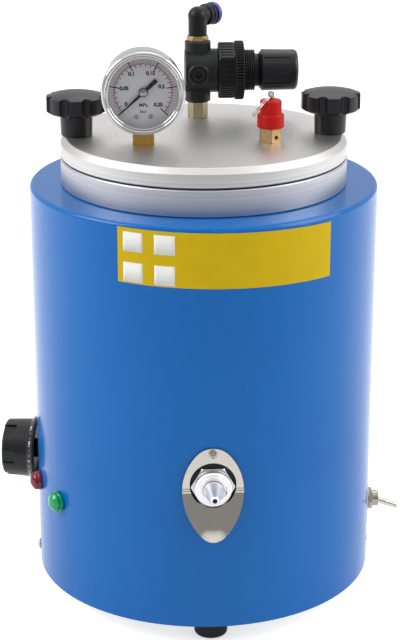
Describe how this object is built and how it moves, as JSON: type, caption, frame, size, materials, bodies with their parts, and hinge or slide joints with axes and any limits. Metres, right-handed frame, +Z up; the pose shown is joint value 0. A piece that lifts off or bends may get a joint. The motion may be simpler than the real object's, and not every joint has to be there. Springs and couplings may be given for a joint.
{
  "type": "wax injector",
  "caption": "Heated pressure pot in a round steel drum with a clamped lid, gauge, regulator, relief valve and a spring-loaded nozzle for injecting wax.",
  "frame": {"origin": "the drum's axis at the height of the feet's undersides", "axes": "+Z up along the drum's axis, -Y out through the nozzle, +X towards the toggle switch"},
  "size_m": [0.2915, 0.288, 0.4101],
  "materials": {
    "painted_blue": "gloss powder coat",
    "zinc_steel": "zinc plated",
    "passivated_steel": "yellow passivated",
    "stainless": "polished",
    "chrome": "polished plate",
    "rubber": "matt",
    "silicone": "matt",
    "aluminium": "turned",
    "brass": "machined",
    "black_plastic": "moulded",
    "black_metal": "die-cast, painted",
    "blue_plastic": "moulded",
    "red_anodised": "satin anodised",
    "green_lens": "clear tinted",
    "red_lens": "clear tinted",
    "dial_white": "matt",
    "clear_glass": "clear",
    "ceramic": "unglazed",
    "fibre": "ceramic wool",
    "mica": "clad band"
  },
  "bodies": {
    "machine": {"outer_shell": "painted_blue", "base_plate": "zinc_steel", "shell_screws": "zinc_steel", "feet": "rubber", "foot_screws": "zinc_steel", "wax_pot": "aluminium", "rim_screws": "zinc_steel", "lid_gasket": "silicone", "heater_band": "mica", "insulation_blanket": "fibre", "nozzle_housing": "chrome", "nozzle_collar": "chrome", "drip_plate": "stainless", "drip_plate_screw": "zinc_steel", "thermostat_body": "ceramic", "thermostat_bulb": "brass", "green_pilot_lens": "green_lens", "red_pilot_lens": "red_lens", "pilot_lamp_bodies": "black_plastic", "toggle_plate": "stainless", "toggle_body": "zinc_steel", "toggle_nut": "chrome", "cable_gland": "black_plastic", "gland_cap": "black_plastic", "gland_nut": "black_plastic", "terminal_block": "ceramic"},
    "nozzle": {"nozzle_tip": "chrome", "nozzle_spring": "stainless"},
    "thermostat_dial": {"thermostat_shaft": "zinc_steel", "thermostat_knob": "black_plastic"},
    "switch_lever": {"toggle_lever": "chrome"},
    "lid": {"lid_plate": "aluminium", "gauge_stem": "brass", "gauge_movement": "brass", "gauge_case": "stainless", "gauge_bezel": "chrome", "gauge_dial": "dial_white", "gauge_glass": "clear_glass", "regulator_nipple": "passivated_steel", "regulator_body": "black_metal", "regulator_plugs": "black_metal", "regulator_bonnet": "black_plastic", "regulator_ring_nut": "black_plastic", "regulator_diaphragm": "rubber", "regulator_spring": "stainless", "elbow_stem": "brass", "relief_body": "brass", "relief_cap": "red_anodised", "relief_spring": "stainless"},
    "left_clamp": {"knob_left": "black_plastic", "knob_left_stud": "zinc_steel"},
    "right_clamp": {"knob_right": "black_plastic", "knob_right_stud": "zinc_steel"},
    "needle": {"gauge_needle": "black_plastic"},
    "pressure_knob": {"adjusting_screw": "brass", "regulator_knob": "black_plastic"},
    "elbow": {"elbow_body": "black_plastic"},
    "release": {"release_ring": "blue_plastic"},
    "valve_pin": {"relief_pin": "brass"},
    "pull_ring": {"relief_ring": "stainless"}
  },
  "joints": [
    {"name": "lid_lift", "type": "slide", "parent": "machine", "child": "lid", "axis": [0, 0, 1], "range_m": [0, 0.12]},
    {"name": "left_clamp_turn", "type": "hinge", "parent": "lid", "child": "left_clamp", "pos_m": [-0.087, 0, 0.3303], "axis": [0, 0, 1], "continuous": true},
    {"name": "right_clamp_turn", "type": "hinge", "parent": "lid", "child": "right_clamp", "pos_m": [0.087, 0, 0.3303], "axis": [0, 0, 1], "continuous": true},
    {"name": "needle_turn", "type": "hinge", "parent": "lid", "child": "needle", "pos_m": [-0.04193, -0.02723, 0.3673], "axis": [0, 1, 0], "range_deg": [0, 267]},
    {"name": "pressure_knob_turn", "type": "hinge", "parent": "lid", "child": "pressure_knob", "pos_m": [-0.00175, 0.04997, 0.3637], "axis": [1, 0, 0], "continuous": true},
    {"name": "elbow_swivel", "type": "hinge", "parent": "lid", "child": "elbow", "pos_m": [-0.00175, 0.04997, 0.4021], "axis": [0, 0, 1], "continuous": true},
    {"name": "release_push", "type": "slide", "parent": "elbow", "child": "release", "axis": [-0.6947, -0.7193, 0], "range_m": [0, 0.001], "stiffness_N_per_m": 400, "springref_m": -0.001},
    {"name": "relief_lift", "type": "slide", "parent": "lid", "child": "valve_pin", "axis": [0, 0, 1], "range_m": [0, 0.003], "stiffness_N_per_m": 1500, "springref_m": -0.002, "deforming": ["relief_spring"]},
    {"name": "pull_ring_swing", "type": "hinge", "parent": "valve_pin", "child": "pull_ring", "pos_m": [0.04373, -0.02424, 0.3619], "axis": [0.3338, 0.9426, 0], "range_deg": [0, 141]},
    {"name": "thermostat_turn", "type": "hinge", "parent": "machine", "child": "thermostat_dial", "pos_m": [-0.11818, 0.02084, 0.0895], "axis": [0.9848, -0.1736, 0], "range_deg": [0, 270]},
    {"name": "switch_tilt", "type": "hinge", "parent": "machine", "child": "switch_lever", "pos_m": [0.124, 0, 0.0532], "axis": [0, -1, 0], "range_deg": [0, 38]},
    {"name": "nozzle_push", "type": "slide", "parent": "machine", "child": "nozzle", "axis": [0, 1, 0], "range_m": [0, 0.003], "stiffness_N_per_m": 1500, "springref_m": -0.003}
  ]
}
